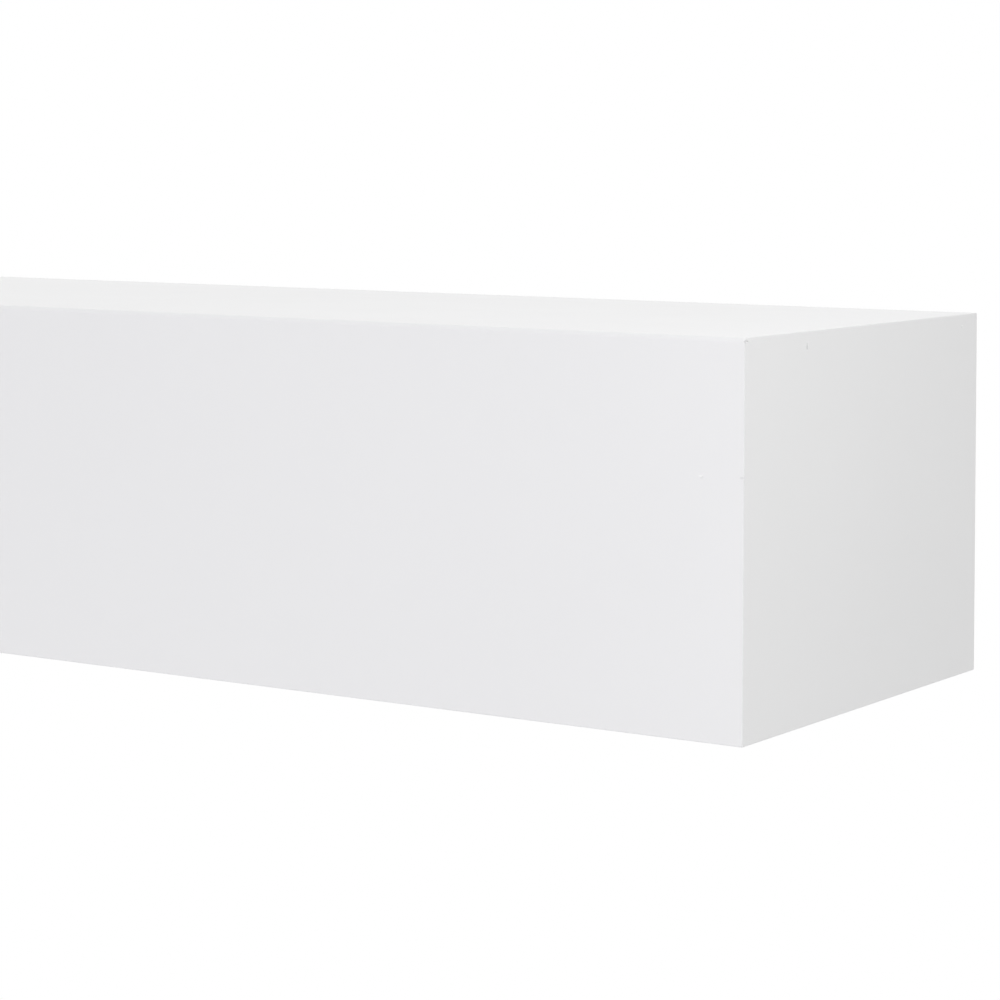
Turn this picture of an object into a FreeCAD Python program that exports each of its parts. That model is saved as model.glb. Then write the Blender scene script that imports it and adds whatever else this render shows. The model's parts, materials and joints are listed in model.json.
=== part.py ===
import FreeCAD, Part
import os

# Floating wall shelf: a hollow, mitred box beam of painted board that slides over a wooden cleat
# lagged to the wall. Millimetres. The origin lies on the wall plane, in the middle of the case's open
# back. +X runs to the right along the shelf, +Y into the wall and +Z up, so the front face looks along -Y.

# Case: five mitred boards
case_length = 1219.2
case_height = 152.4
case_depth = 203.2
panel_thickness = 12.7
top_front_roundover = 2.0
eased_arris = 0.5

# Ribs that stiffen the hollow, and the stock glued into its inside corners
rib_count = 3
rib_thickness = 12.7
rib_cleat_gap = 3.0
corner_post_width = 19.05
strip_leg = 15.9
strip_end_gap = 1.5

# Cleat that the case hangs on
cleat_thickness = 38.1
cleat_side_clearance = 12.7
cleat_under_clearance = 1.0
cleat_lead_chamfer = 3.0

# Lag screws into the wall studs, with their washers
stud_spacing = 406.4
lag_end_margin = 60.0
lag_row_drop = 38.1
lag_length = 76.2
lag_shank_diameter = 7.94
lag_thread_diameter = 6.9
lag_tip_length = 8.0
lag_head_across_flats = 12.7
lag_head_height = 5.2
lag_head_sink = 1.5
lag_hole_clearance = 0.4
washer_diameter = 22.2
washer_thickness = 2.1
washer_bore_clearance = 0.8
counterbore_clearance = 1.2

# Set screws that clamp the case to the cleat from below, in threaded inserts
set_screw_inset = 152.4
set_screw_diameter = 6.35
set_screw_recess = 1.5
set_screw_socket_flats = 3.2
set_screw_socket_depth = 3.5
insert_diameter = 9.5
insert_recess = 0.7
insert_clearance = 0.05
thread_clearance = 0.1

# Brads of flat wire through the ends and the front, set below the face and filled
brad_width = 1.27
brad_thickness = 1.02
brad_length = 25.4
brad_set = 2.0
end_brad_face_inset = 5.1
end_brad_front_inset = 48.8
end_brad_back_inset = 14.9
front_brad_end_inset = 18.3
front_brad_drop = 52.8

# Planes that several pieces share
half_length = case_length / 2
half_height = case_height / 2
inner_half_length = half_length - panel_thickness
inner_half_height = half_height - panel_thickness
front_y = -case_depth
front_inner_y = front_y + panel_thickness
cleat_front_y = -cleat_thickness
rib_back_y = cleat_front_y - rib_cleat_gap
cleat_top_z = inner_half_height
cleat_bottom_z = -inner_half_height + cleat_under_clearance
cleat_half_length = inner_half_length - cleat_side_clearance
lag_z = cleat_top_z - lag_row_drop

along_x = FreeCAD.Vector(1, 0, 0)
along_y = FreeCAD.Vector(0, 1, 0)
along_z = FreeCAD.Vector(0, 0, 1)
origin = FreeCAD.Vector(0, 0, 0)
edge_tolerance = 0.01

pieces = {}


def prism(points, sweep):
    """Solid swept from the flat outline through points."""
    outline = [FreeCAD.Vector(*point) for point in points]
    return Part.Face(Part.makePolygon(outline + outline[:1])).extrude(sweep)


def prism_along_x(section, low, high):
    """Solid of a (y, z) section between two x planes."""
    return prism([(low, y, z) for y, z in section], along_x * (high - low))


def prism_along_y(section, low, high):
    """Solid of an (x, z) section between two y planes."""
    return prism([(x, low, z) for x, z in section], along_y * (high - low))


def prism_along_z(section, low, high):
    """Solid of an (x, y) section between two z planes."""
    return prism([(x, y, low) for x, y in section], along_z * (high - low))


def rectangle(low_1, high_1, low_2, high_2):
    """Corners of a rectangle, given the span of its two coordinates."""
    return [(low_1, low_2), (high_1, low_2), (high_1, high_2), (low_1, high_2)]


def hexagon(centre_1, centre_2, across_flats):
    """Corners of a hexagon with two flats square to its second coordinate."""
    half_flats = across_flats / 2
    corner = across_flats / 3**0.5
    offsets = [
        (corner, 0),
        (corner / 2, half_flats),
        (-corner / 2, half_flats),
        (-corner, 0),
        (-corner / 2, -half_flats),
        (corner / 2, -half_flats),
    ]
    return [(centre_1 + a, centre_2 + b) for a, b in offsets]


def mirrored(shape, normal):
    """The piece's twin on the other side of the shelf's middle plane."""
    return shape.mirror(origin, normal)


def rounded_envelope():
    """The case's outer form: a roundover along its top front edge, and every other arris eased."""
    block = Part.makeBox(
        case_length, case_depth, case_height, FreeCAD.Vector(-half_length, front_y, -half_height)
    )
    top_front_edge = [
        edge
        for edge in block.Edges
        if edge.BoundBox.YMax < front_y + edge_tolerance and edge.BoundBox.ZMin > half_height - edge_tolerance
    ]
    block = block.makeFillet(top_front_roundover, top_front_edge)
    end_outlines = [
        edge
        for edge in block.Edges
        if edge.BoundBox.XLength < edge_tolerance and edge.BoundBox.YMin < -edge_tolerance
    ]
    bottom_front_edge = [
        edge
        for edge in block.Edges
        if edge.BoundBox.YMax < front_y + edge_tolerance and edge.BoundBox.ZMax < edge_tolerance - half_height
    ]
    return block.makeFillet(eased_arris, end_outlines + bottom_front_edge)


def mitred_boards():
    """Top, front and right end board, each bounded by its mitre planes."""
    top_across = [
        (front_y, half_height),
        (0, half_height),
        (0, inner_half_height),
        (front_inner_y, inner_half_height),
    ]
    top_along = [
        (-half_length, half_height),
        (half_length, half_height),
        (inner_half_length, inner_half_height),
        (-inner_half_length, inner_half_height),
    ]
    front_across = [
        (front_y, -half_height),
        (front_y, half_height),
        (front_inner_y, inner_half_height),
        (front_inner_y, -inner_half_height),
    ]
    front_along = [
        (-half_length, front_y),
        (half_length, front_y),
        (inner_half_length, front_inner_y),
        (-inner_half_length, front_inner_y),
    ]
    end_upright = [
        (half_length, -half_height),
        (half_length, half_height),
        (inner_half_length, inner_half_height),
        (inner_half_length, -inner_half_height),
    ]
    end_across = [
        (half_length, front_y),
        (half_length, 0),
        (inner_half_length, 0),
        (inner_half_length, front_inner_y),
    ]
    top = prism_along_x(top_across, -half_length, half_length)
    top = top.common(prism_along_y(top_along, front_y, 0))
    front = prism_along_x(front_across, -half_length, half_length)
    front = front.common(prism_along_z(front_along, -half_height, half_height))
    end = prism_along_y(end_upright, front_y, 0)
    end = end.common(prism_along_z(end_across, -half_height, half_height))
    return top, front, end


def case_panels():
    """The five boards of the case, which share one rounded outer form."""
    top, front, right_end = mitred_boards()
    boards = {
        "top_panel": top,
        "front_panel": front,
        "bottom_panel": mirrored(top, along_z),
        "left_end_panel": mirrored(right_end, along_x),
        "right_end_panel": right_end,
    }
    envelope = rounded_envelope()
    for name, board in boards.items():
        pieces[name] = board.common(envelope)


def ribs_and_blocks():
    """Partition ribs, corner posts and triangular glue strips inside the hollow."""
    bay_pitch = 2 * inner_half_length / (rib_count + 1)
    rib_centres = [(i + 1) * bay_pitch - inner_half_length for i in range(rib_count)]
    rib_section = rectangle(front_inner_y, rib_back_y, -inner_half_height, inner_half_height)
    for number, x in enumerate(rib_centres, 1):
        pieces[f"rib_{number}"] = prism_along_x(rib_section, x - rib_thickness / 2, x + rib_thickness / 2)

    post_inner_x = inner_half_length - corner_post_width
    post_back_y = front_inner_y + corner_post_width
    post_section = rectangle(post_inner_x, inner_half_length, front_inner_y, post_back_y)
    right_post = prism_along_z(post_section, -inner_half_height, inner_half_height)
    pieces["right_corner_post"] = right_post
    pieces["left_corner_post"] = mirrored(right_post, along_x)

    front_corner = [
        (front_inner_y, inner_half_height),
        (front_inner_y + strip_leg, inner_half_height),
        (front_inner_y, inner_half_height - strip_leg),
    ]
    bay_starts = [-post_inner_x] + [x + rib_thickness / 2 for x in rib_centres]
    bay_ends = [x - rib_thickness / 2 for x in rib_centres] + [post_inner_x]
    for number, (start, end) in enumerate(zip(bay_starts, bay_ends), 1):
        strip = prism_along_x(front_corner, start + strip_end_gap, end - strip_end_gap)
        pieces[f"top_glue_strip_{number}"] = strip
        pieces[f"bottom_glue_strip_{number}"] = mirrored(strip, along_z)

    end_corner = [
        (inner_half_length, inner_half_height),
        (inner_half_length - strip_leg, inner_half_height),
        (inner_half_length, inner_half_height - strip_leg),
    ]
    right_top_strip = prism_along_y(end_corner, post_back_y + strip_end_gap, rib_back_y)
    left_top_strip = mirrored(right_top_strip, along_x)
    pieces["right_end_top_strip"] = right_top_strip
    pieces["left_end_top_strip"] = left_top_strip
    pieces["right_end_bottom_strip"] = mirrored(right_top_strip, along_z)
    pieces["left_end_bottom_strip"] = mirrored(left_top_strip, along_z)


def lag_positions():
    """Where the lags meet the wall studs: one in the middle, and pairs as far as the cleat reaches."""
    pairs = int((cleat_half_length - lag_end_margin) / stud_spacing)
    return [stud_spacing * i for i in range(-pairs, pairs + 1)]


def wall_cleat_and_lags():
    """The cleat with its counterbored holes, and the lags and washers that hold it to the wall."""
    head_under_y = cleat_front_y + lag_head_sink + lag_head_height
    seat_y = head_under_y + washer_thickness
    shank_radius = lag_shank_diameter / 2
    thread_radius = lag_thread_diameter / 2
    hole_radius = shank_radius + lag_hole_clearance
    washer_radius = washer_diameter / 2
    counterbore_radius = washer_radius + counterbore_clearance
    washer_bore_radius = shank_radius + washer_bore_clearance
    tip_y = head_under_y + lag_length

    cleat_section = [
        (0, cleat_top_z),
        (cleat_front_y + cleat_lead_chamfer, cleat_top_z),
        (cleat_front_y, cleat_top_z - cleat_lead_chamfer),
        (cleat_front_y, cleat_bottom_z + cleat_lead_chamfer),
        (cleat_front_y + cleat_lead_chamfer, cleat_bottom_z),
        (0, cleat_bottom_z),
    ]
    cleat = prism_along_x(cleat_section, -cleat_half_length, cleat_half_length)

    lags = []
    washers = []
    for x in lag_positions():
        front_centre = FreeCAD.Vector(x, cleat_front_y, lag_z)
        cleat = cleat.cut(Part.makeCylinder(hole_radius, cleat_thickness, front_centre, along_y))
        cleat = cleat.cut(
            Part.makeCylinder(counterbore_radius, seat_y - cleat_front_y, front_centre, along_y)
        )
        lag_profile = [
            (x, head_under_y, lag_z),
            (x + shank_radius, head_under_y, lag_z),
            (x + shank_radius, 0, lag_z),
            (x + thread_radius, 0, lag_z),
            (x + thread_radius, tip_y - lag_tip_length, lag_z),
            (x, tip_y, lag_z),
        ]
        outline = [FreeCAD.Vector(*point) for point in lag_profile]
        shaft_face = Part.Face(Part.makePolygon(outline + outline[:1]))
        shaft = shaft_face.revolve(front_centre, along_y, 360)
        head = prism_along_y(
            hexagon(x, lag_z, lag_head_across_flats), head_under_y - lag_head_height, head_under_y
        )
        lags.append(head.fuse(shaft).removeSplitter())

        under_head = FreeCAD.Vector(x, head_under_y, lag_z)
        washer = Part.makeCylinder(washer_radius, washer_thickness, under_head, along_y)
        washers.append(
            washer.cut(Part.makeCylinder(washer_bore_radius, washer_thickness, under_head, along_y))
        )
    pieces["wall_cleat"] = cleat
    pieces["lag_screws"] = Part.makeCompound(lags)
    pieces["lag_washers"] = Part.makeCompound(washers)


def set_screws_and_inserts():
    """Set screws whose flat tips bear on the cleat's underside, and the inserts that they turn in."""
    screw_radius = set_screw_diameter / 2
    insert_radius = insert_diameter / 2
    hole_radius = insert_radius + insert_clearance
    bore_radius = screw_radius + thread_clearance
    screw_x = cleat_half_length - set_screw_inset
    screw_y = cleat_front_y / 2
    screw_bottom_z = -half_height + set_screw_recess
    insert_bottom_z = -half_height + insert_recess
    insert_length = panel_thickness - insert_recess

    screws = []
    inserts = []
    for x in (-screw_x, screw_x):
        underside = FreeCAD.Vector(x, screw_y, -half_height)
        hole = Part.makeCylinder(hole_radius, panel_thickness, underside, along_z)
        pieces["bottom_panel"] = pieces["bottom_panel"].cut(hole)

        insert_base = FreeCAD.Vector(x, screw_y, insert_bottom_z)
        insert = Part.makeCylinder(insert_radius, insert_length, insert_base, along_z)
        inserts.append(insert.cut(Part.makeCylinder(bore_radius, insert_length, insert_base, along_z)))

        screw_base = FreeCAD.Vector(x, screw_y, screw_bottom_z)
        screw = Part.makeCylinder(screw_radius, cleat_bottom_z - screw_bottom_z, screw_base, along_z)
        socket = prism_along_z(
            hexagon(x, screw_y, set_screw_socket_flats),
            screw_bottom_z,
            screw_bottom_z + set_screw_socket_depth,
        )
        screws.append(screw.cut(socket))
    pieces["set_screws"] = Part.makeCompound(screws)
    pieces["threaded_inserts"] = Part.makeCompound(inserts)


def flat_pin(face, way, across, start, length):
    """Length of brad wire driven into a face: way points in, and across is the wire's wide side."""
    half_section = across * (brad_width / 2) + along_z * (brad_thickness / 2)
    near = face + way * start - half_section
    far = face + way * (start + length) + half_section
    low = FreeCAD.Vector(min(near.x, far.x), min(near.y, far.y), min(near.z, far.z))
    high = FreeCAD.Vector(max(near.x, far.x), max(near.y, far.y), max(near.z, far.z))
    size = high - low
    return Part.makeBox(size.x, size.y, size.z, low)


def brads_and_fillers():
    """Brads that pin the mitred ends and the corner posts, each set below the face and filled."""
    end_rows = [half_height - end_brad_face_inset, end_brad_face_inset - half_height]
    end_columns = [front_y + end_brad_front_inset, -end_brad_back_inset]
    front_rows = [half_height - front_brad_drop, front_brad_drop - half_height]
    end_drives = []
    front_drives = []
    for side in (-1, 1):
        for z in end_rows:
            for y in end_columns:
                end_drives.append((FreeCAD.Vector(side * half_length, y, z), along_x * -side, along_y))
        for z in front_rows:
            x = side * (half_length - front_brad_end_inset)
            front_drives.append((FreeCAD.Vector(x, front_y, z), along_y, along_x))

    def driven(drives, start, length):
        """Group of like pins, one for each place that a brad is driven."""
        return Part.makeCompound([flat_pin(*drive, start, length) for drive in drives])

    drives = end_drives + front_drives
    holes = driven(drives, 0, brad_set + brad_length)
    nailed = ["top_panel", "bottom_panel", "front_panel", "left_end_panel", "right_end_panel"]
    for name in nailed + ["left_corner_post", "right_corner_post"]:
        pieces[name] = pieces[name].cut(holes)
    pieces["end_brads"] = driven(end_drives, brad_set, brad_length)
    pieces["front_brads"] = driven(front_drives, brad_set, brad_length)
    pieces["brad_fillers"] = driven(drives, 0, brad_set)


case_panels()
ribs_and_blocks()
wall_cleat_and_lags()
set_screws_and_inserts()
brads_and_fillers()

os.makedirs("parts", exist_ok=True)
for name, shape in pieces.items():
    shape.exportStep(f"parts/{name}.step")
    solids = len(shape.Solids)
    print(f"{name}: {solids} solid(s), {shape.Volume / 1000:.1f} cm3, valid {shape.isValid()}")
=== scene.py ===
import json
import math

import bmesh
import bpy
from mathutils import Matrix, Vector


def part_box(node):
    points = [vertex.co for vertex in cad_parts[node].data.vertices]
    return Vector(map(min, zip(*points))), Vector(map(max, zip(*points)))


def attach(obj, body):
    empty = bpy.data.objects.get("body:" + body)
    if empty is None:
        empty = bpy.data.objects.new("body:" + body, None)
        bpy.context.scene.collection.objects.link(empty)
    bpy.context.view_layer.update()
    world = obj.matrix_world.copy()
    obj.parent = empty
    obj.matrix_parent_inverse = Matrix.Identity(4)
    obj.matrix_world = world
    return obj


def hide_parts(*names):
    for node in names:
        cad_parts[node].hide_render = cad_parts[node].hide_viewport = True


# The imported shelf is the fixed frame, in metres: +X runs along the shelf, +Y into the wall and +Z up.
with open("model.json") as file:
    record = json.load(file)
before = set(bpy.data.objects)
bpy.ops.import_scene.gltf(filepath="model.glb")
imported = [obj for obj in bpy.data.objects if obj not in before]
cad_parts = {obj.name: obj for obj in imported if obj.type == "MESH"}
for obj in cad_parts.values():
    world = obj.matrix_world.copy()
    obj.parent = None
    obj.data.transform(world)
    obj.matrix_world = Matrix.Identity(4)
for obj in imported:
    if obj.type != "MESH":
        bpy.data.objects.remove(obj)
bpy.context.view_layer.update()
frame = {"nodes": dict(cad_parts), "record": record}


# Wall cleat: a length of planed pine that fills the hollow at the wall and carries the shelf.
# It is sawn to length, chamfered along its front so that the case slides on, eased round its back,
# and bored and counterbored for one lag screw at each wall stud.
def on_the_bench(piece):
    """Selects a piece alone, as the one being worked on."""
    bpy.ops.object.select_all(action="DESELECT")
    piece.select_set(True)
    bpy.context.view_layer.objects.active = piece


def squared_block(name, low, high):
    """A sawn block between two corners, with its place in its mesh."""
    bpy.ops.object.select_all(action="DESELECT")
    bpy.ops.mesh.primitive_cube_add(size=1, location=(low + high) / 2)
    block = bpy.context.object
    block.name = name
    block.scale = high - low
    bpy.ops.object.transform_apply(location=True, rotation=True, scale=True)
    return block


def open_for_editing(piece, mode):
    """Opens a piece in edit mode, with nothing on it selected."""
    on_the_bench(piece)
    bpy.ops.object.mode_set(mode="EDIT")
    bpy.ops.mesh.select_mode(type=mode)
    bpy.ops.mesh.select_all(action="DESELECT")


def ease_edges(piece, wanted, size, segments):
    """Bevels the edges whose two ends pass the test, in one pass of the plane or router."""
    open_for_editing(piece, "EDGE")
    mesh = bmesh.from_edit_mesh(piece.data)
    for edge in mesh.edges:
        if wanted(edge.verts[0].co, edge.verts[1].co):
            edge.select_set(True)
    bmesh.update_edit_mesh(piece.data)
    bpy.ops.mesh.bevel(offset=size, segments=segments, profile=0.5, affect="EDGES", clamp_overlap=False)
    bpy.ops.object.mode_set(mode="OBJECT")


def apply_modifier(piece, modifier):
    """Makes a modifier's result the piece's own mesh."""
    on_the_bench(piece)
    bpy.ops.object.modifier_apply(modifier=modifier.name)


def combine(piece, other, operation):
    """Cuts away, welds on or keeps only the shape of the other piece, which is used up."""
    joint = piece.modifiers.new("joint", "BOOLEAN")
    joint.operation = operation
    joint.solver = "EXACT"
    joint.object = other
    apply_modifier(piece, joint)
    bpy.data.objects.remove(other)


def bored(piece, centre, axis_turn, radius, depth, sides):
    """Drills a round hole: depth is its whole length, with the centre halfway along it."""
    bpy.ops.object.select_all(action="DESELECT")
    bpy.ops.mesh.primitive_cylinder_add(
        vertices=sides, radius=radius, depth=depth, location=centre, rotation=axis_turn
    )
    combine(piece, bpy.context.object, "DIFFERENCE")


def smooth_rounds(piece, degrees):
    """Shades rounds smooth and leaves corners sharper than this crisp."""
    on_the_bench(piece)
    bpy.ops.object.shade_smooth_by_angle(angle=math.radians(degrees))


def new_finish(name):
    """An empty node material and its shader."""
    finish = bpy.data.materials.new(name)
    finish.use_nodes = True
    return finish, finish.node_tree.nodes["Principled BSDF"]


def put(finish, kind, settings=None, **sockets):
    """Adds a node to a finish, with its settings and the values of its named sockets."""
    node = finish.node_tree.nodes.new(kind)
    for name, value in (settings or {}).items():
        setattr(node, name, value)
    for name, value in sockets.items():
        node.inputs[name.replace("_", " ")].default_value = value
    return node


def wire(finish, source, socket):
    """Leads another node's output into a socket, or sets it to a plain value."""
    if isinstance(source, bpy.types.NodeSocket):
        finish.node_tree.links.new(source, socket)
    else:
        socket.default_value = source


def spread(finish, value, span, onto, easing="LINEAR"):
    """A value's span moved onto another span, and held there."""
    ranged = put(
        finish,
        "ShaderNodeMapRange",
        {"interpolation_type": easing},
        From_Min=span[0],
        From_Max=span[1],
        To_Min=onto[0],
        To_Max=onto[1],
    )
    wire(finish, value, ranged.inputs["Value"])
    return ranged.outputs["Result"]


def blend_colours(finish, share, low, high):
    """Colour between two others, each a socket or a value, by a share from 0 to 1."""
    share_socket, low_socket, high_socket, blended = 0, 6, 7, 2
    mix = put(finish, "ShaderNodeMix", {"data_type": "RGBA"})
    wire(finish, share, mix.inputs[share_socket])
    for socket, colour in ((low_socket, low), (high_socket, high)):
        wire(finish, (*colour, 1) if isinstance(colour, tuple) else colour, mix.inputs[socket])
    return mix.outputs[blended]


def figure(finish, operation, first, second):
    """One step of arithmetic on sockets or numbers."""
    step = put(finish, "ShaderNodeMath", {"operation": operation})
    wire(finish, first, step.inputs[0])
    wire(finish, second, step.inputs[1])
    return step.outputs[0]


def vector_figure(finish, operation, *values):
    """One step of arithmetic on vectors, each a socket or a value."""
    step = put(finish, "ShaderNodeVectorMath", {"operation": operation})
    for value, socket in zip(values, step.inputs):
        wire(finish, value, socket)
    return step.outputs["Value" if operation in ("LENGTH", "DOT_PRODUCT") else "Vector"]


def mapped(finish, place=(0, 0, 0), turn=(0, 0, 0), scale=(1, 1, 1)):
    """The piece's own coordinates, moved, turned and stretched."""
    coordinates = put(finish, "ShaderNodeTexCoord")
    mapping = put(finish, "ShaderNodeMapping", Location=place, Rotation=turn, Scale=scale)
    wire(finish, coordinates.outputs["Object"], mapping.inputs["Vector"])
    return mapping.outputs["Vector"]


def noise(finish, place, lumps, detail, roughness=0.5):
    """Cloudy variation, with so many lumps to the metre; most of its values lie in cloud_span."""
    cloud = put(finish, "ShaderNodeTexNoise", Scale=lumps, Detail=detail, Roughness=roughness)
    wire(finish, place, cloud.inputs["Vector"])
    return cloud.outputs["Fac"]


cloud_span = (0.3, 0.7)


def raise_surface(finish, shader, height, strength, distance):
    """Lets a height stand up from the surface as fine relief."""
    relief = put(finish, "ShaderNodeBump", Strength=strength, Distance=distance)
    wire(finish, height, relief.inputs["Height"])
    wire(finish, relief.outputs["Normal"], shader.inputs["Normal"])


def grown_round_knots(finish, place, knots):
    """Grain pushed aside by its knots, and the way to the nearest knot, counted in its radii."""
    knot_slant = 0.55
    swirl_span = (0.2, 4.2)
    swirl_push = 1.1
    nearest = None
    for along, up, radius in knots:
        offset = vector_figure(finish, "SUBTRACT", mapped(finish), (along, 0, up))
        flat = vector_figure(finish, "MULTIPLY", offset, (knot_slant / radius, 0, 1 / radius))
        away = vector_figure(finish, "LENGTH", flat)
        push = spread(finish, away, swirl_span, (swirl_push * radius, 0), "SMOOTHERSTEP")
        pushed = vector_figure(finish, "MULTIPLY", vector_figure(finish, "NORMALIZE", flat), push)
        place = vector_figure(finish, "SUBTRACT", place, pushed)
        nearest = away if nearest is None else figure(finish, "MINIMUM", nearest, away)
    return place, nearest


def pine(name, pith, turn, knots=()):
    """Planed softwood: rings about a pith line, fine fibre along it, and knots as (along, up, radius)."""
    early_wood = (0.71, 0.52, 0.32)
    late_wood = (0.55, 0.35, 0.18)
    fibre_dark = (0.56, 0.38, 0.21)
    knot_wood = (0.30, 0.15, 0.065)
    knot_rim = (0.20, 0.09, 0.04)
    rings_to_the_metre = 62
    finish, shader = new_finish(name)
    place, nearest_knot = grown_round_knots(finish, mapped(finish, pith, turn), knots)
    rings = put(
        finish,
        "ShaderNodeTexWave",
        {"wave_type": "RINGS", "rings_direction": "X", "wave_profile": "SAW"},
        Scale=rings_to_the_metre,
        Distortion=2.2,
        Detail=2.0,
        Detail_Scale=0.12,
    )
    wire(finish, place, rings.inputs["Vector"])
    fibre = noise(finish, mapped(finish, pith, turn, (9, 420, 420)), lumps=1, detail=5, roughness=0.6)
    patches = noise(finish, mapped(finish, pith, turn, (4, 18, 18)), lumps=1, detail=2)
    ring_share = spread(finish, rings.outputs["Fac"], (0.35, 1.0), (0.0, 0.85))
    fibre_share = figure(finish, "MULTIPLY", spread(finish, fibre, (0.40, 0.68), (0.0, 1.3)), patches)
    colour = blend_colours(finish, ring_share, early_wood, late_wood)
    colour = blend_colours(finish, fibre_share, colour, fibre_dark)
    if knots:
        uneven = noise(finish, mapped(finish, scale=(260, 260, 260)), lumps=1, detail=3)
        from_knot = figure(finish, "ADD", nearest_knot, spread(finish, uneven, cloud_span, (-0.16, 0.16)))
        colour = blend_colours(finish, spread(finish, from_knot, (0.95, 1.15), (1, 0)), colour, knot_rim)
        colour = blend_colours(finish, spread(finish, from_knot, (0.60, 0.95), (1, 0)), colour, knot_wood)
    wire(finish, colour, shader.inputs["Base Color"])
    wire(finish, spread(finish, fibre, cloud_span, (0.58, 0.72)), shader.inputs["Roughness"])
    raise_surface(finish, shader, figure(finish, "ADD", fibre, ring_share), strength=0.35, distance=0.0002)
    return finish


cleat_low, cleat_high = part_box("wall_cleat")
washers_low, washers_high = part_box("lag_washers")
washer_radius = (washers_high.z - washers_low.z) / 2
washer_room = 0.0012
shank_radius = 0.00397
shank_room = 0.0004
lead_chamfer = 0.003
eased_arris = 0.0012
touching = 1e-5
drill_length = 0.06
into_wall = (math.pi / 2, 0, 0)
millimetre = 0.001
outer_lags = next(mount for mount in frame["record"]["mounts"] if mount["name"] == "outer_lags")
stud_offset = outer_lags["dims"]["spacing_x_mm"] / 2 * millimetre
lag_z = outer_lags["pos_m"][2]
lag_places = (-stud_offset, 0, stud_offset)
cleat_pith = (0, 0.043, 0.031)
cleat_grain = (0, 0.022, -0.012)
cleat_knots = ((-0.232, 0.018, 0.0085), (0.118, -0.041, 0.0065), (0.486, 0.002, 0.0095))


def along_cleat_front(a, b):
    """The two long edges of the cleat's front."""
    return abs(a.y - b.y) < touching and abs(a.z - b.z) < touching and a.y < cleat_low.y + touching


def round_cleat_back(a, b):
    """The four edges of the cleat's back."""
    return min(a.y, b.y) > -touching


cleat = squared_block("pine_cleat", cleat_low, cleat_high)
ease_edges(cleat, along_cleat_front, size=lead_chamfer, segments=1)
ease_edges(cleat, round_cleat_back, size=eased_arris, segments=4)
counterbore_depth = washers_high.y - cleat_low.y
for lag_x in lag_places:
    middle = (lag_x, cleat_low.y / 2, lag_z)
    front = (lag_x, cleat_low.y, lag_z)
    bored(cleat, middle, into_wall, shank_radius + shank_room, drill_length, sides=48)
    bored(cleat, front, into_wall, washer_radius + washer_room, 2 * counterbore_depth, sides=64)
smooth_rounds(cleat, degrees=25)
cleat.data.materials.append(pine("planed_pine", cleat_pith, cleat_grain, cleat_knots))
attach(cleat, "wall_cleat")
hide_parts("wall_cleat")


# Lag screws: zinc-plated steel, one to each stud. The hex head is forged and its corners chamfered,
# the shank is plain through the cleat, and the coarse thread is rolled and ends in a gimlet point.
def traced(name, points):
    """A line of edges, drawn by pulling one vertex from point to point."""
    bpy.ops.object.select_all(action="DESELECT")
    bpy.ops.mesh.primitive_plane_add(size=0.001)
    line = bpy.context.object
    line.name = name
    bpy.ops.object.mode_set(mode="EDIT")
    bpy.ops.mesh.select_mode(type="VERT")
    bpy.ops.mesh.select_all(action="SELECT")
    bpy.ops.mesh.merge(type="CENTER")
    bpy.ops.transform.translate(value=points[0])
    for here, there in zip(points, points[1:]):
        bpy.ops.mesh.extrude_region_move(TRANSFORM_OT_translate={"value": there - here})
    bpy.ops.object.mode_set(mode="OBJECT")
    return line


def close_up(piece):
    """Merges what meets and turns every face outwards."""
    open_for_editing(piece, "VERT")
    bpy.ops.mesh.select_all(action="SELECT")
    bpy.ops.mesh.remove_doubles(threshold=2e-6)
    bpy.ops.mesh.normals_make_consistent(inside=False)
    bpy.ops.object.mode_set(mode="OBJECT")


def turned(name, outline, steps):
    """A lathe-turned piece: its outline of (radius, height) points spun about Z."""
    piece = traced(name, [Vector((radius, 0, height)) for radius, height in outline])
    open_for_editing(piece, "VERT")
    bpy.ops.mesh.select_all(action="SELECT")
    bpy.ops.mesh.spin(steps=steps, angle=2 * math.pi, center=(0, 0, 0), axis=(0, 0, 1))
    bpy.ops.object.mode_set(mode="OBJECT")
    close_up(piece)
    return piece


def sawn_off(piece, point, keep):
    """Saws a piece through and keeps the side that keep points to, with a clean face."""
    open_for_editing(piece, "FACE")
    bpy.ops.mesh.select_all(action="SELECT")
    bpy.ops.mesh.bisect(plane_co=point, plane_no=keep, use_fill=True, clear_inner=True, threshold=1e-6)
    bpy.ops.object.mode_set(mode="OBJECT")


def threaded_rod(name, root, crest, pitch, low, high, steps):
    """A rod with one helical thread between two heights on Z."""
    thread_form = ((root, 0.0), (root, 0.38), (crest, 0.64), (crest, 0.72), (root, 0.98), (root, 1.0))
    lead_in_turns = 1.5
    spare_turns = 2
    start = low - lead_in_turns * pitch
    rod = traced(name, [Vector((radius, 0, start + share * pitch)) for radius, share in thread_form])
    winding = rod.modifiers.new("winding", "SCREW")
    winding.axis = "Z"
    winding.angle = 2 * math.pi
    winding.screw_offset = pitch
    winding.iterations = math.ceil((high - low) / pitch) + spare_turns
    winding.steps = steps
    winding.render_steps = steps
    apply_modifier(rod, winding)
    close_up(rod)
    sawn_off(rod, (0, 0, low), (0, 0, 1))
    sawn_off(rod, (0, 0, high), (0, 0, -1))
    close_up(rod)
    return rod


def hexagon_bar(name, across_flats, low, high):
    """A hexagonal bar on Z with two corners on X."""
    bpy.ops.object.select_all(action="DESELECT")
    bpy.ops.mesh.primitive_cylinder_add(
        vertices=6,
        radius=across_flats / math.sqrt(3),
        depth=high - low,
        location=(0, 0, (low + high) / 2),
        rotation=(0, 0, math.pi / 2),
    )
    bar = bpy.context.object
    bar.name = name
    bpy.ops.object.transform_apply(location=True, rotation=True, scale=True)
    return bar


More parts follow.
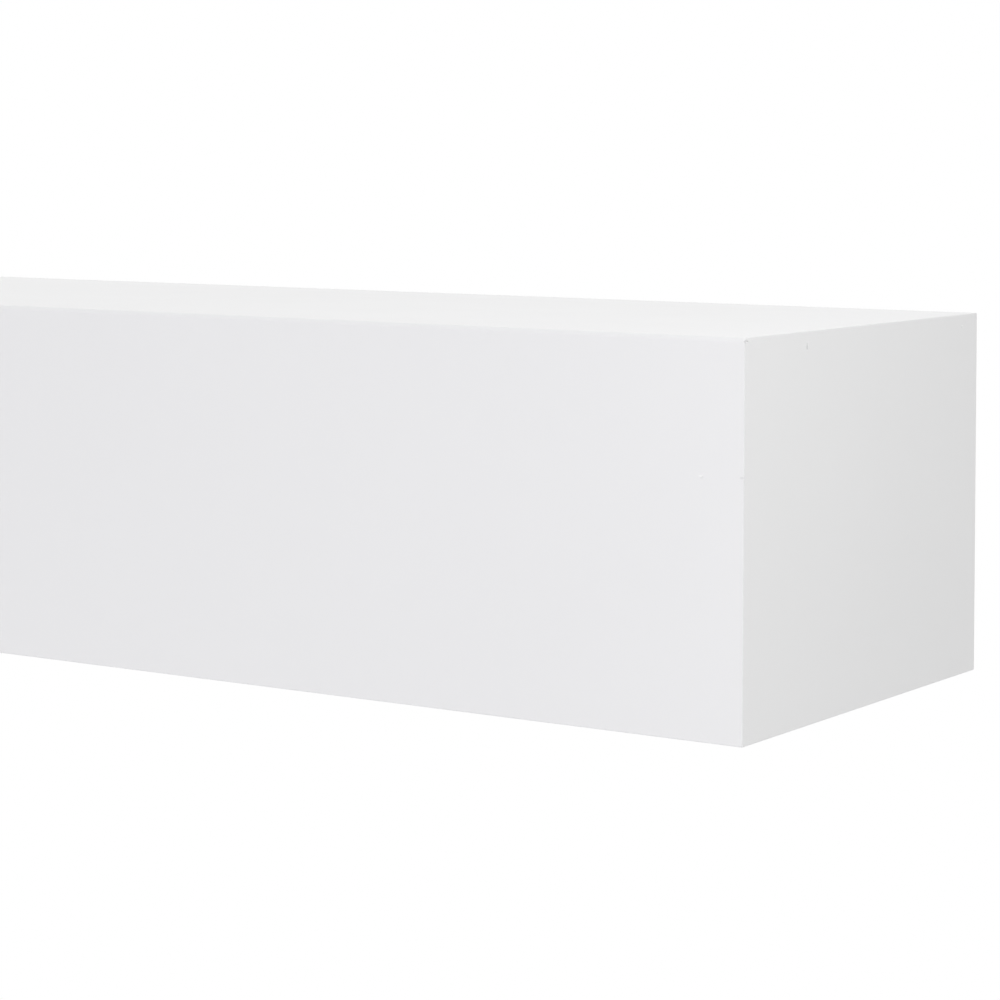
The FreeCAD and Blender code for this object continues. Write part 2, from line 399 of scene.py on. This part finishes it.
def set_in_place(piece, place, turn):
    """Turns and moves a finished piece, with its place kept in its mesh."""
    on_the_bench(piece)
    piece.rotation_euler = turn
    piece.location = place
    bpy.ops.object.transform_apply(location=True, rotation=True, scale=True)


def twin(piece, name):
    """A copy of a piece with a mesh of its own."""
    copy = piece.copy()
    copy.data = piece.data.copy()
    copy.name = name
    bpy.context.scene.collection.objects.link(copy)
    return copy


def mottled(finish, value, span, low, high):
    """Colour that goes from one to another as a value goes through its span."""
    return blend_colours(finish, spread(finish, value, span, (0, 1)), low, high)


def plated_steel(name, bright, roughness):
    """Bright plating: fine spangle and a faint bloom."""
    bloom_share = 0.78
    spangle_roughness = 0.16
    dull = tuple(bloom_share * part for part in bright)
    finish, shader = new_finish(name)
    shader.inputs["Metallic"].default_value = 1.0
    spangle = noise(finish, mapped(finish), lumps=900, detail=3)
    bloom = noise(finish, mapped(finish, (0.3, 0.1, 0.7)), lumps=160, detail=4, roughness=0.6)
    wire(finish, mottled(finish, bloom, (0.35, 0.7), bright, dull), shader.inputs["Base Color"])
    dullness = spread(finish, spangle, cloud_span, (roughness, roughness + spangle_roughness))
    wire(finish, dullness, shader.inputs["Roughness"])
    raise_surface(finish, shader, spangle, strength=0.15, distance=0.00008)
    return finish


zinc = plated_steel("zinc_plate", (0.63, 0.64, 0.66), roughness=0.30)
lags_low, lags_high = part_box("lag_screws")
head_across_flats = lags_high.z - lags_low.z
head_under_y = washers_low.y
head_height = head_under_y - lags_low.y
crown_flat = 0.46 * head_across_flats
crown_reach = 0.60 * head_across_flats
crown_drop = 0.35 * head_height
thread_start_y = 0.0
thread_root = 0.0029
thread_crest = 0.00392
thread_pitch = 0.00282
runout_length = 0.0006
runout_radius = 1.02 * thread_root
tip_length = 0.0080
tip_share = 0.05
tip_start_y = lags_high.y - tip_length
weld = 0.0008
from_z_to_y = (-math.pi / 2, 0, 0)

head_under = head_under_y - tip_start_y
head_top = head_under - head_height
shank_end = thread_start_y - tip_start_y
thread_low = shank_end - weld
lag = threaded_rod(
    "lag_screw_1", thread_root, thread_crest, thread_pitch, low=thread_low, high=tip_length, steps=28
)
taper = lag.modifiers.new("taper", "SIMPLE_DEFORM")
taper.deform_method = "TAPER"
taper.deform_axis = "Z"
taper.factor = tip_share - 1
taper.limits = (-thread_low / (tip_length - thread_low), 1)
apply_modifier(lag, taper)
shank = turned(
    "shank",
    [
        (0, head_under - weld),
        (shank_radius, head_under - weld),
        (shank_radius, shank_end - runout_length),
        (runout_radius, shank_end),
        (0, shank_end),
    ],
    steps=40,
)
head = hexagon_bar("head", head_across_flats, head_top, head_under)
crown = turned(
    "crown",
    [
        (0, head_top),
        (crown_flat, head_top),
        (crown_reach, head_top + crown_drop),
        (crown_reach, head_under + weld),
        (0, head_under + weld),
    ],
    steps=64,
)
combine(head, crown, "INTERSECT")
combine(lag, shank, "UNION")
combine(lag, head, "UNION")
smooth_rounds(lag, degrees=28)
lag.data.materials.clear()
lag.data.materials.append(zinc)
lags = [lag] + [twin(lag, f"lag_screw_{number}") for number in (2, 3)]
for screw, lag_x in zip(lags, lag_places):
    set_in_place(screw, (lag_x, tip_start_y, lag_z), from_z_to_y)
    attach(screw, "wall_cleat")
    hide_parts("lag_screws")


# Washers: stamped zinc-plated steel, one under each lag head at the bottom of its counterbore.
# Stamping draws in the rims of one face and leaves those of the other sharp.
bore_room = 0.0008
washer_bore = shank_radius + bore_room
washer_thickness = washers_high.y - washers_low.y
stamped_round = 0.0004
washer = turned(
    "lag_washer_1",
    [
        (washer_bore, stamped_round),
        (washer_bore + stamped_round, 0),
        (washer_radius - stamped_round, 0),
        (washer_radius, stamped_round),
        (washer_radius, washer_thickness),
        (washer_bore, washer_thickness),
        (washer_bore, stamped_round),
    ],
    steps=56,
)
smooth_rounds(washer, degrees=28)
washer.data.materials.append(zinc)
washers = [washer] + [twin(washer, f"lag_washer_{number}") for number in (2, 3)]
for ring, lag_x in zip(washers, lag_places):
    set_in_place(ring, (lag_x, head_under_y, lag_z), from_z_to_y)
    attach(ring, "wall_cleat")
    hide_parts("lag_washers")


# Case boards: five lengths of medium-density fibreboard, mitred, glued and sanded as one box, with a small
# roundover along the top front edge and the other arrises of the front and ends just broken. The outside is
# sprayed satin white; the inside stays raw, and the back edges caught only the drift of the spray.
front_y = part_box("front_panel")[0].y
half_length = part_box("right_end_panel")[1].x
half_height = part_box("top_panel")[1].z
board_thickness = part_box("rib_1")[0].y - front_y
top_front_roundover = 0.0020
broken_arris = 0.0005
paint_white = (0.862, 0.862, 0.862)
paint_thin = (0.850, 0.850, 0.851)
# Greys for the nick's faces: painted shade of the recess, darker than the white enamel.
nick_shade_grey = (0.82, 0.82, 0.82)
nick_deep_shade_grey = (0.77, 0.77, 0.77)


def fibreboard_colour(finish):
    """Raw fibreboard: pressed wood dust with longer, paler and darker fibres."""
    board = (0.47, 0.34, 0.22)
    pale_fibre = (0.57, 0.43, 0.29)
    dark_fibre = (0.33, 0.225, 0.135)
    dust = noise(finish, mapped(finish), lumps=1400, detail=4, roughness=0.65)
    strands = noise(finish, mapped(finish, turn=(0.4, 0.7, 0.2), scale=(300, 900, 900)), lumps=1, detail=3)
    patches = noise(finish, mapped(finish), lumps=22, detail=3)
    colour = mottled(finish, dust, (0.38, 0.66), dark_fibre, board)
    colour = blend_colours(finish, spread(finish, strands, (0.55, 0.75), (0, 0.7)), colour, pale_fibre)
    colour = blend_colours(finish, spread(finish, patches, (0.35, 0.75), (0, 0.3)), colour, dark_fibre)
    return colour, dust


def raw_fibreboard(name):
    """The board as it comes off the saw."""
    finish, shader = new_finish(name)
    colour, dust = fibreboard_colour(finish)
    wire(finish, colour, shader.inputs["Base Color"])
    wire(finish, spread(finish, dust, cloud_span, (0.78, 0.92)), shader.inputs["Roughness"])
    raise_surface(finish, shader, dust, strength=0.4, distance=0.0002)
    return finish


def enamel_colour(finish):
    """White enamel, a hair uneven where the coat is thicker."""
    coat = noise(finish, mapped(finish), lumps=5, detail=3)
    return mottled(finish, coat, cloud_span, paint_white, paint_thin)


def satin_enamel(name):
    """Sprayed satin enamel: fine orange peel and a sheen that wanders a little."""
    finish, shader = new_finish(name)
    wire(finish, enamel_colour(finish), shader.inputs["Base Color"])
    sheen = noise(finish, mapped(finish, (0.2, 0.5, 0.1)), lumps=28, detail=3)
    wire(finish, spread(finish, sheen, cloud_span, (0.44, 0.52)), shader.inputs["Roughness"])
    peel = noise(finish, mapped(finish), lumps=650, detail=2, roughness=0.4)
    raise_surface(finish, shader, peel, strength=0.10, distance=0.00006)
    return finish


def nick_shaded_enamel(name):
    """Enamel that a knock has crazed, greyed darker as painted shade of the nick's recess."""
    finish, shader = new_finish(name)
    craze = noise(finish, mapped(finish), lumps=2200, detail=3)
    wire(finish, mottled(finish, craze, cloud_span, nick_shade_grey, nick_deep_shade_grey), shader.inputs["Base Color"])
    wire(finish, spread(finish, craze, cloud_span, (0.6, 0.75)), shader.inputs["Roughness"])
    raise_surface(finish, shader, craze, strength=0.3, distance=0.00004)
    return finish


def drifted_edge(name):
    """Raw board edge with spray drift: white at the outer arris, thinning to specks a few millimetres in."""
    drift_reach = 0.0060
    gust_shift = 0.0004
    cover_at_arris = 0.8
    speck_span = (0.68, 1.20)
    finish, shader = new_finish(name)
    board, dust = fibreboard_colour(finish)
    place = put(finish, "ShaderNodeSeparateXYZ")
    wire(finish, mapped(finish), place.inputs["Vector"])
    from_end = figure(finish, "SUBTRACT", half_length, figure(finish, "ABSOLUTE", place.outputs["X"], 0))
    from_face = figure(finish, "SUBTRACT", half_height, figure(finish, "ABSOLUTE", place.outputs["Z"], 0))
    inset = figure(finish, "MINIMUM", from_end, from_face)
    gusts = noise(finish, mapped(finish), lumps=14, detail=2)
    ragged = figure(finish, "ADD", inset, spread(finish, gusts, cloud_span, (-gust_shift, gust_shift)))
    specks = noise(finish, mapped(finish), lumps=1900, detail=2)
    cover = spread(finish, ragged, (0, drift_reach), (cover_at_arris, 0), "SMOOTHSTEP")
    drift = spread(finish, figure(finish, "ADD", specks, cover), speck_span, (0, 1))
    wire(finish, blend_colours(finish, drift, board, enamel_colour(finish)), shader.inputs["Base Color"])
    wire(finish, spread(finish, drift, (0, 1), (0.85, 0.6)), shader.inputs["Roughness"])
    raise_surface(finish, shader, dust, strength=0.35, distance=0.0002)
    return finish


def along_top_front(a, b):
    """The long edge over the front."""
    return max(a.y, b.y) < front_y + touching and min(a.z, b.z) > half_height - touching


def at_end_or_bottom_front(a, b):
    """Edges round the two ends, but not along the back, and the long edge under the front."""
    round_end = abs(a.x - b.x) < touching and abs(a.x) > half_length - touching
    along_back = min(a.y, b.y) > -touching
    under_front = max(a.y, b.y) < front_y + touching and max(a.z, b.z) < touching - half_height
    return (round_end and not along_back) or under_front


case_block = squared_block(
    "case_block", Vector((-half_length, front_y, -half_height)), Vector((half_length, 0, half_height))
)
ease_edges(case_block, along_top_front, size=top_front_roundover, segments=12)
ease_edges(case_block, at_end_or_bottom_front, size=broken_arris, segments=6)

outer_faces = {
    "top": (Vector((0, 0, 1)), half_height),
    "front": (Vector((0, -1, 0)), -front_y),
    "bottom": (Vector((0, 0, -1)), half_height),
    "left_end": (Vector((-1, 0, 0)), half_length),
    "right_end": (Vector((1, 0, 0)), half_length),
}
boards = {}
for name, (outward, reach) in outer_faces.items():
    board = twin(case_block, f"{name}_board")
    sawn_off(board, outward * (reach - board_thickness), outward)
    for beside_outward, beside_reach in outer_faces.values():
        if outward.dot(beside_outward) == 0:
            corner = outward * reach + beside_outward * beside_reach
            sawn_off(board, corner, (outward - beside_outward).normalized())
    boards[name] = board
bpy.data.objects.remove(case_block)

# Holes in the boards for the inserts and for twelve brads. On each side two brads go through the end into the
# top board, two into the bottom board and two through the front into the corner post, counted in that order.
brad_width = 0.00127
brad_wire = 0.00102
overcut = 0.001
end_brads_low, end_brads_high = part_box("end_brads")
front_brads_low, front_brads_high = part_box("front_brads")
brad_reach = front_brads_high.y - front_y
end_brad_row = end_brads_high.z - brad_wire / 2
end_brad_columns = (end_brads_low.y + brad_width / 2, end_brads_high.y - brad_width / 2)
front_brad_row = front_brads_high.z - brad_wire / 2
front_brad_column = front_brads_high.x - brad_width / 2
brad_places = []
for side in (-1, 1):
    for row in (end_brad_row, -end_brad_row):
        for column in end_brad_columns:
            brad_places.append((Vector((side * half_length, column, row)), Vector((side, 0, 0))))
    for row in (front_brad_row, -front_brad_row):
        brad_places.append((Vector((side * front_brad_column, front_y, row)), Vector((0, -1, 0))))


def brad_corners(place, outward, inside, outside):
    """The two corners of a brad's hole or plug, from a depth inside the face to a height outside it."""
    wide_side = Vector((abs(outward.y), abs(outward.x), 0))
    across = wide_side * brad_width / 2 + Vector((0, 0, brad_wire / 2))
    inner = place - outward * inside
    outer = place + outward * outside
    return Vector(map(min, inner, outer)) - across, Vector(map(max, inner, outer)) + across


for place, outward in brad_places:
    inner = place - outward * brad_reach
    for name, board in boards.items():
        board_outward, board_reach = outer_faces[name]
        if (inner.dot(board_outward) > board_reach - board_thickness) or outward == board_outward:
            hole = squared_block("brad_hole", *brad_corners(place, outward, brad_reach, overcut))
            combine(board, hole, "DIFFERENCE")

insert_low, insert_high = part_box("threaded_inserts")
insert_radius = (insert_high.y - insert_low.y) / 2
insert_room = 0.00005
insert_x = insert_high.x - insert_radius
insert_y = (insert_low.y + insert_high.y) / 2
insert_hole_depth = 2 * (board_thickness + overcut)
upright = (0, 0, 0)
for x in (-insert_x, insert_x):
    underside = (x, insert_y, -half_height)
    bored(boards["bottom"], underside, upright, insert_radius + insert_room, insert_hole_depth, sides=48)

# Finishes of the boards: enamel outside, raw board inside, and drift on the edges against the wall.
enamel = satin_enamel("satin_enamel")
raw_board = raw_fibreboard("raw_fibreboard")
back_edge = drifted_edge("drifted_board_edge")
board_finishes = [enamel, raw_board, back_edge]
facing = 0.9
turned_in = -0.05
for name, board in boards.items():
    outward, reach = outer_faces[name]
    for finish in board_finishes:
        board.data.materials.append(finish)
    for face in board.data.polygons:
        if face.normal.y > facing:
            face.material_index = board_finishes.index(back_edge)
        elif face.normal.dot(outward) < turned_in:
            face.material_index = board_finishes.index(raw_board)

# Wear: a crater beside the shrunk filler, a pit in the top front right corner, and a nick
# on the right end's front arris, whose faces take grey enamel as painted shade.
shrunk_brad = 7
crater_offset = Vector((0, 0.0002, -0.0012))
crater = (brad_places[shrunk_brad - 1][0] + crater_offset, Vector((0.0006, 0.00080, 0.00095)))
pit_place = Vector((half_length, front_y + 0.0010, half_height - 0.0015))
corner_pit = (pit_place, Vector((0.0007, 0.0016, 0.0005)))
for name, (centre, reach) in (
    ("right_end", crater),
    ("right_end", corner_pit),
    ("front", corner_pit),
    ("top", corner_pit),
):
    bpy.ops.object.select_all(action="DESELECT")
    bpy.ops.mesh.primitive_ico_sphere_add(subdivisions=3, radius=1, location=centre, scale=reach)
    combine(boards[name], bpy.context.object, "DIFFERENCE")

nick_shade_finish = nick_shaded_enamel("nick_shaded_enamel")
nick_reach = 0.0018
nick_height = 0.00075
nick_slope = math.radians(16)
nick_place = (half_length - nick_reach, front_y, 0.0242)
nick_low = Vector((0, -overcut, -nick_height / 2))
nick_high = Vector((2 * nick_reach, 0, nick_height / 2))
for name in ("right_end", "front"):
    chip = squared_block("chip", nick_low, nick_high)
    set_in_place(chip, nick_place, (0, 0, nick_slope))
    boards[name].data.materials.append(nick_shade_finish)
    for finish in boards[name].data.materials:
        chip.data.materials.append(finish)
    for face in chip.data.polygons:
        face.material_index = len(chip.data.materials) - 1
    combine(boards[name], chip, "DIFFERENCE")

for name, board in boards.items():
    smooth_rounds(board, degrees=20)
    weighted = board.modifiers.new("weighted", "WEIGHTED_NORMAL")
    weighted.mode = "FACE_AREA"
    weighted.keep_sharp = True
    apply_modifier(board, weighted)
    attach(board, "case")
    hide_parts(f"{name}_panel")


# Ribs: partitions of the same fibreboard, glued across the hollow to keep the long box stiff.
# They are sawn square and left raw.
for number in (1, 2, 3):
    rib = frame["nodes"][f"rib_{number}"]
    rib.data.materials.clear()
    rib.data.materials.append(raw_board)


# Corner posts and glue strips: square and triangular pine glued into the inside corners of the case.
# The posts stand, the long strips lie along the front and the short ones along the ends, so for each
# kind the stock has a pith and a turn of its grain, and words from its pieces' names.
pine_stock = {
    "standing_pine": ((0.01, 0.02, 0.0), (0, math.pi / 2, 0), ("corner_post",)),
    "lengthwise_pine": ((0.2, 0.17, 0.09), (0.02, 0.01, 0), ("glue_strip",)),
    "crosswise_pine": ((0.05, 0.4, 0.06), (0, 0, math.pi / 2), ("end_top_strip", "end_bottom_strip")),
}
for finish_name, (pith, turn, words) in pine_stock.items():
    finish = pine(finish_name, pith, turn)
    for name, node in frame["nodes"].items():
        if any(word in name for word in words):
            node.data.materials.clear()
            node.data.materials.append(finish)


# Threaded inserts and set screws: brass inserts pressed into the bottom board take steel grub screws,
# turned from below with a hex key until their flat tips clamp the case to the cleat.
def turned_brass(name):
    """Machined brass: turning rings so fine that they only stretch the shine, and a little tarnish."""
    bright = (0.74, 0.57, 0.28)
    tarnish = (0.50, 0.36, 0.16)
    finish, shader = new_finish(name)
    shader.inputs["Metallic"].default_value = 1.0
    stain = noise(finish, mapped(finish), lumps=240, detail=4, roughness=0.6)
    cut = noise(finish, mapped(finish, scale=(300, 300, 4000)), lumps=1, detail=2)
    wire(finish, mottled(finish, stain, (0.4, 0.75), bright, tarnish), shader.inputs["Base Color"])
    wire(finish, spread(finish, stain, cloud_span, (0.24, 0.42)), shader.inputs["Roughness"])
    raise_surface(finish, shader, cut, strength=0.2, distance=0.00004)
    return finish


screw_low, screw_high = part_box("set_screws")
screw_radius = (screw_high.y - screw_low.y) / 2
screw_root = 0.80 * screw_radius
screw_pitch = 0.00127
screw_base_flat = 0.86 * screw_radius
screw_tip_flat = 0.70 * screw_radius
clear_of_thread = 1.1 * screw_radius
base_chamfer = 0.6 * screw_pitch
socket_flats = 0.0032
socket_depth = 0.0035
thread_room = 0.0001
insert_bore = screw_radius + thread_room
insert_lead = 0.0006
off_the_seam = (0, 0, 0.05)

insert = turned(
    "threaded_insert_1",
    [
        (insert_bore + insert_lead, insert_low.z),
        (insert_radius - insert_lead / 2, insert_low.z),
        (insert_radius, insert_low.z + insert_lead / 2),
        (insert_radius, insert_high.z - insert_lead),
        (insert_radius - insert_lead, insert_high.z),
        (insert_bore, insert_high.z),
        (insert_bore, insert_low.z + insert_lead),
        (insert_bore + insert_lead, insert_low.z),
    ],
    steps=48,
)
smooth_rounds(insert, degrees=28)
insert.data.materials.append(turned_brass("turned_brass"))
grub_low = screw_low.z - overcut
grub_high = screw_high.z + overcut
grub = threaded_rod(
    "set_screw_1", screw_root, screw_radius, screw_pitch, low=grub_low, high=grub_high, steps=24
)
ends = turned(
    "ends",
    [
        (0, screw_low.z),
        (screw_base_flat, screw_low.z),
        (clear_of_thread, screw_low.z + base_chamfer),
        (clear_of_thread, screw_high.z - screw_pitch),
        (screw_tip_flat, screw_high.z),
        (0, screw_high.z),
    ],
    steps=48,
)
set_in_place(ends, (0, 0, 0), off_the_seam)
combine(grub, ends, "INTERSECT")
socket = hexagon_bar("socket", socket_flats, screw_low.z - overcut, screw_low.z + socket_depth)
combine(grub, socket, "DIFFERENCE")
smooth_rounds(grub, degrees=28)
grub.data.materials.clear()
grub.data.materials.append(zinc)
for part, name, node, slot in (
    (insert, "threaded_insert_2", "threaded_inserts", "brass"),
    (grub, "set_screw_2", "set_screws", "zinc_steel"),
):
    pair = (part, twin(part, name))
    for fitted, x in zip(pair, (-insert_x, insert_x)):
        set_in_place(fitted, (x, insert_y, 0), upright)
        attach(fitted, "case")
        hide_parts(node)


# Brads and filler: flat-wire brads pin the mitred ends and the corner posts, punched below the face.
# Each hole is stopped with filler and painted over. One filler of the right end shrank, and two stood
# proud and smeared; their upward faces are painted chalk-white as a painted highlight.
def painted_filler(name):
    """Filler under the same enamel, which dried flatter and grainier over it."""
    finish, shader = new_finish(name)
    wire(finish, enamel_colour(finish), shader.inputs["Base Color"])
    grain = noise(finish, mapped(finish), lumps=3000, detail=3)
    wire(finish, spread(finish, grain, cloud_span, (0.6, 0.75)), shader.inputs["Roughness"])
    raise_surface(finish, shader, grain, strength=0.3, distance=0.00005)
    return finish


def highlight_filler(name):
    """Chalk-white colour for the upward faces of the proud fillers: a painted highlight."""
    highlight_white = (0.97, 0.97, 0.97)
    highlight_grey_white = (0.93, 0.93, 0.92)
    finish, shader = new_finish(name)
    grain = noise(finish, mapped(finish), lumps=3000, detail=3)
    wire(finish, mottled(finish, grain, cloud_span, highlight_white, highlight_grey_white), shader.inputs["Base Color"])
    wire(finish, spread(finish, grain, cloud_span, (0.80, 0.95)), shader.inputs["Roughness"])
    return finish


brad_steel = plated_steel("brad_wire", (0.55, 0.55, 0.55), roughness=0.36)
for name in ("end_brads", "front_brads"):
    frame["nodes"][name].data.materials.clear()
    frame["nodes"][name].data.materials.append(brad_steel)

filler_paint = painted_filler("painted_filler")
filler_highlight = highlight_filler("filler_painted_highlight")
filler_depth = front_brads_low.y - front_y
dome_rims = ((0.00008, 0.10), (0.00014, 0.55), (0.00016, 0.35))
flush_height = 0.00003
sunk_height = -0.00022
proud_end_brad = 8
proud_front_brad = 11
filler_heights = {shrunk_brad: sunk_height, proud_end_brad: 0.00028, proud_front_brad: 0.00034}
filler_smears = {proud_end_brad: 1.5, proud_front_brad: 1.4}
filler_leans = {proud_front_brad: Vector((0, 0, 0.0002))}
lit_facing_up = 0.3
outer_side = 0.1
for number, (place, outward) in enumerate(brad_places, 1):
    height = filler_heights.get(number, flush_height)
    smear = filler_smears.get(number, 1.0)
    lean = filler_leans.get(number, Vector())
    top = min(height, 0.0)
    plug = squared_block(f"brad_filler_{number}", *brad_corners(place, outward, filler_depth, top))
    open_for_editing(plug, "FACE")
    mesh = bmesh.from_edit_mesh(plug.data)
    for face in mesh.faces:
        face.select_set(face.normal.dot(outward) > facing)
    bmesh.update_edit_mesh(plug.data)
    if number in filler_smears:
        bpy.ops.mesh.extrude_region_move(TRANSFORM_OT_translate={"value": (0, 0, 0)})
        bpy.ops.transform.resize(value=(smear, smear, smear))
    for rim_width, share in dome_rims:
        bpy.ops.mesh.inset(thickness=rim_width * smear, depth=0)
        bpy.ops.transform.translate(value=(outward * (height - top) + lean) * share)
    bpy.ops.object.mode_set(mode="OBJECT")
    smooth_rounds(plug, degrees=40)
    plug.data.materials.append(filler_paint)
    # The proud fillers' upward faces take chalk-white: a painted highlight.
    if number in filler_smears:
        plug.data.materials.append(filler_highlight)
        for face in plug.data.polygons:
            if face.normal.z > lit_facing_up and face.normal.dot(outward) > outer_side:
                face.material_index = len(plug.data.materials) - 1
    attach(plug, "case")
    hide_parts("brad_fillers")


# Studio: a plain pale floor well below the shelf, a white surround that is brighter behind, below and to the
# left, a small soft lamp near the right end and a wider, slightly cool one far in front, a little above it.
def pale_floor(name):
    """White floor that keeps the shelf's soft shadow and runs out to plain white."""
    floor_white = (0.95, 0.95, 0.95)
    floor_scuffed = (0.94, 0.94, 0.94)
    floor_bounce = (0.70, 0.70, 0.70)
    shadow_middle = (0, 0.1, 0)
    shadow_stretch = (0.75, 1, 0)
    fade_span = (0.75, 1.15)
    finish, shader = new_finish(name)
    shader.inputs["Roughness"].default_value = 0.9
    shader.inputs["Specular IOR Level"].default_value = 0.1
    seen = put(finish, "ShaderNodeLightPath").outputs["Is Camera Ray"]
    grain = noise(finish, mapped(finish), lumps=3, detail=2)
    shown_colour = mottled(finish, grain, cloud_span, floor_white, floor_scuffed)
    wire(finish, blend_colours(finish, seen, floor_bounce, shown_colour), shader.inputs["Base Color"])
    white = put(finish, "ShaderNodeEmission", Color=(1, 1, 1, 1), Strength=1.0)
    away = vector_figure(finish, "LENGTH", mapped(finish, shadow_middle, scale=shadow_stretch))
    fade = spread(finish, away, fade_span, (0, 1))
    shown = put(finish, "ShaderNodeMixShader")
    wire(finish, figure(finish, "MULTIPLY", fade, seen), shown.inputs[0])
    wire(finish, shader.outputs[0], shown.inputs[1])
    wire(finish, white.outputs[0], shown.inputs[2])
    wire(finish, shown.outputs[0], finish.node_tree.nodes["Material Output"].inputs["Surface"])
    return finish


floor_z = -0.65
floor_size = 14.0
bpy.ops.object.select_all(action="DESELECT")
bpy.ops.mesh.primitive_plane_add(size=floor_size, location=(0, 0, floor_z))
floor = bpy.context.object
floor.name = "floor"
bpy.ops.object.transform_apply(location=True, rotation=True, scale=True)
floor.data.materials.append(pale_floor("pale_floor"))

surround_level = 1.158
surround_swing = 0.801
surround_way = Vector((-0.579, 0.691, -0.432)).normalized()
dimmest = surround_level - surround_swing
brightest = surround_level + surround_swing
surround = bpy.data.worlds.new("white_surround")
bpy.context.scene.world = surround
surround.use_nodes = True
backdrop = surround.node_tree.nodes["Background"]
backdrop.inputs["Strength"].default_value = 1.0
heading = put(surround, "ShaderNodeTexCoord").outputs["Generated"]
toward = vector_figure(surround, "DOT_PRODUCT", heading, surround_way)
level = spread(surround, toward, (-1, 1), (dimmest, brightest))
rays = put(surround, "ShaderNodeLightPath")
direct = figure(surround, "MAXIMUM", rays.outputs["Is Camera Ray"], rays.outputs["Is Glossy Ray"])
direct = figure(surround, "MAXIMUM", direct, rays.outputs["Is Transmission Ray"])
wire(surround, blend_colours(surround, direct, level, (1, 1, 1)), backdrop.inputs["Color"])


def soft_lamp(name, place, aim, size, watts, colour):
    """A square softbox, turned to what it lights."""
    bpy.ops.object.light_add(type="AREA", location=place)
    lamp = bpy.context.object
    lamp.name = name
    lamp.data.shape = "SQUARE"
    lamp.data.size = size
    lamp.data.energy = watts
    lamp.data.color = colour
    lamp.visible_glossy = False
    lamp.rotation_euler = (aim - place).to_track_quat("-Z", "Y").to_euler()


soft_lamp(
    "side_lamp",
    place=Vector((0.95, -0.30, 0.16)),
    aim=Vector((0.58, -0.15, 0)),
    size=0.4,
    watts=0.420,
    colour=(1, 1, 1),
)
soft_lamp(
    "front_lamp",
    place=Vector((0.5, -2.2, 0.40)),
    aim=Vector((0.2, -0.2, 0)),
    size=0.6,
    watts=10.78,
    colour=(0.95, 0.94, 1.0),
)


# Camera: at the photograph's angle, front right and a little above, close to level, with a long lens.
# The lens is shifted down, as the shelf sits below the middle of the lens's view.
camera_place = (1.1579, -1.1973, 0.1497)
camera_yaw = math.radians(33.458)
camera_pitch = math.radians(1.902)
camera_roll = math.radians(0.194)
camera_turn = (
    Matrix.Rotation(camera_yaw, 3, "Z")
    @ Matrix.Rotation(math.pi / 2 - camera_pitch, 3, "X")
    @ Matrix.Rotation(camera_roll, 3, "Z")
)
bpy.ops.object.camera_add(location=camera_place, rotation=camera_turn.to_euler())
camera = bpy.context.object
camera.name = "camera"
camera.data.sensor_width = 36
camera.data.lens = 110.434
camera.data.shift_y = -0.26
bpy.context.scene.camera = camera
bpy.context.scene.view_settings.view_transform = "Standard"
